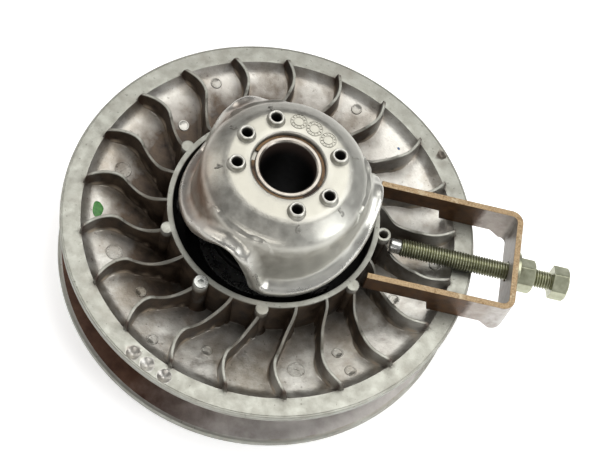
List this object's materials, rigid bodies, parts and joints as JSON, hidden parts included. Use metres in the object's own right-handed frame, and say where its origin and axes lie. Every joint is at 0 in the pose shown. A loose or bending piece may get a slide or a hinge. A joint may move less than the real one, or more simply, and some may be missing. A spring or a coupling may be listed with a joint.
{
  "type": "cvt driven pulley",
  "caption": "Driven variable-speed belt pulley: fixed and finned sliding sheaves, ramp cam, coil spring and a U bracket with a feed bolt for spreading the sheaves.",
  "frame": {"origin": "on the pulley axis, in the fixed sheave's back plane", "axes": "+Z along the pulley axis from the fixed sheave to the cam; azimuth from +X towards +Y; the bracket lies along azimuth 8.3 degrees"},
  "size_m": [0.327, 0.267, 0.1264],
  "materials": {
    "cast_aluminium": "as cast, machined lands, stained",
    "cam_aluminium": "as cast, tumbled",
    "dark_steel": "oiled",
    "bright_steel": "ground",
    "spring_clip": "bronzed",
    "nylon": "moulded",
    "spring_steel": "oil tempered",
    "bronze": "sintered",
    "seal_rubber": "matte",
    "yellow_zinc": "yellow zinc, aged brown",
    "grey_zinc": "dull zinc"
  },
  "bodies": {
    "fixed_half": {"fixed_sheave": "cast_aluminium", "hub_post": "dark_steel", "cam_key": "dark_steel", "cam": "cam_aluminium", "snap_ring": "spring_clip", "spring_seat": "nylon", "spring": "spring_steel"},
    "washer_slide": {"thrust_washer": "bright_steel"},
    "sliding_half": {"sliding_sheave": "cast_aluminium", "hub_bushing_lower": "bronze", "hub_bushing_upper": "bronze", "hub_seal": "seal_rubber", "roller_pins": "bright_steel", "roller_clips": "bright_steel", "boss_screws": "bright_steel"},
    "roller_1": {"roller_1": "nylon"},
    "roller_2": {"roller_2": "nylon"},
    "roller_3": {"roller_3": "nylon"},
    "bracket_set": {"bracket": "yellow_zinc", "bracket_washer": "grey_zinc", "bracket_nut": "grey_zinc"},
    "bolt_point": {"bolt_tip": "bright_steel"},
    "feed_bolt": {"feed_bolt": "grey_zinc"}
  },
  "joints": [
    {"name": "sheave_slide", "type": "slide", "parent": "fixed_half", "child": "washer_slide", "axis": [0, 0, 1], "range_m": [0, 0.0256], "stiffness_N_per_m": 9000, "springref_m": -0.03, "deforming": ["spring"]},
    {"name": "sheave_twist", "type": "hinge", "parent": "washer_slide", "child": "sliding_half", "pos_m": [0, 0, 0.04], "axis": [0, 0, 1], "range_deg": [0, 60]},
    {"name": "roller_1_spin", "type": "hinge", "parent": "sliding_half", "child": "roller_1", "pos_m": [0.04161, -0.03881, 0.0606], "axis": [0.7314, -0.682, 0], "continuous": true},
    {"name": "roller_2_spin", "type": "hinge", "parent": "sliding_half", "child": "roller_2", "pos_m": [0.0128, 0.05544, 0.0606], "axis": [0.225, 0.9744, 0], "continuous": true},
    {"name": "roller_3_spin", "type": "hinge", "parent": "sliding_half", "child": "roller_3", "pos_m": [-0.05441, -0.01664, 0.0606], "axis": [-0.9563, -0.2924, 0], "continuous": true},
    {"name": "bracket_lift", "type": "slide", "parent": "sliding_half", "child": "bracket_set", "axis": [0, 0, 1], "range_m": [0, 0.06]},
    {"name": "bolt_feed", "type": "slide", "parent": "bracket_set", "child": "bolt_point", "axis": [0.9895, 0.1444, 0], "range_m": [0, 0.0683]},
    {"name": "bolt_turn", "type": "hinge", "parent": "bolt_point", "child": "feed_bolt", "pos_m": [0.119, 0.01559, 0.0569], "axis": [0.9895, 0.1444, 0], "range_deg": [0, 14051]}
  ],
  "couplings": [
    {"joint": "sheave_twist", "follows": "sheave_slide", "rad_per_m": 40.9},
    {"joint": "bolt_turn", "follows": "bolt_feed", "rad_per_m": 3590.4}
  ]
}
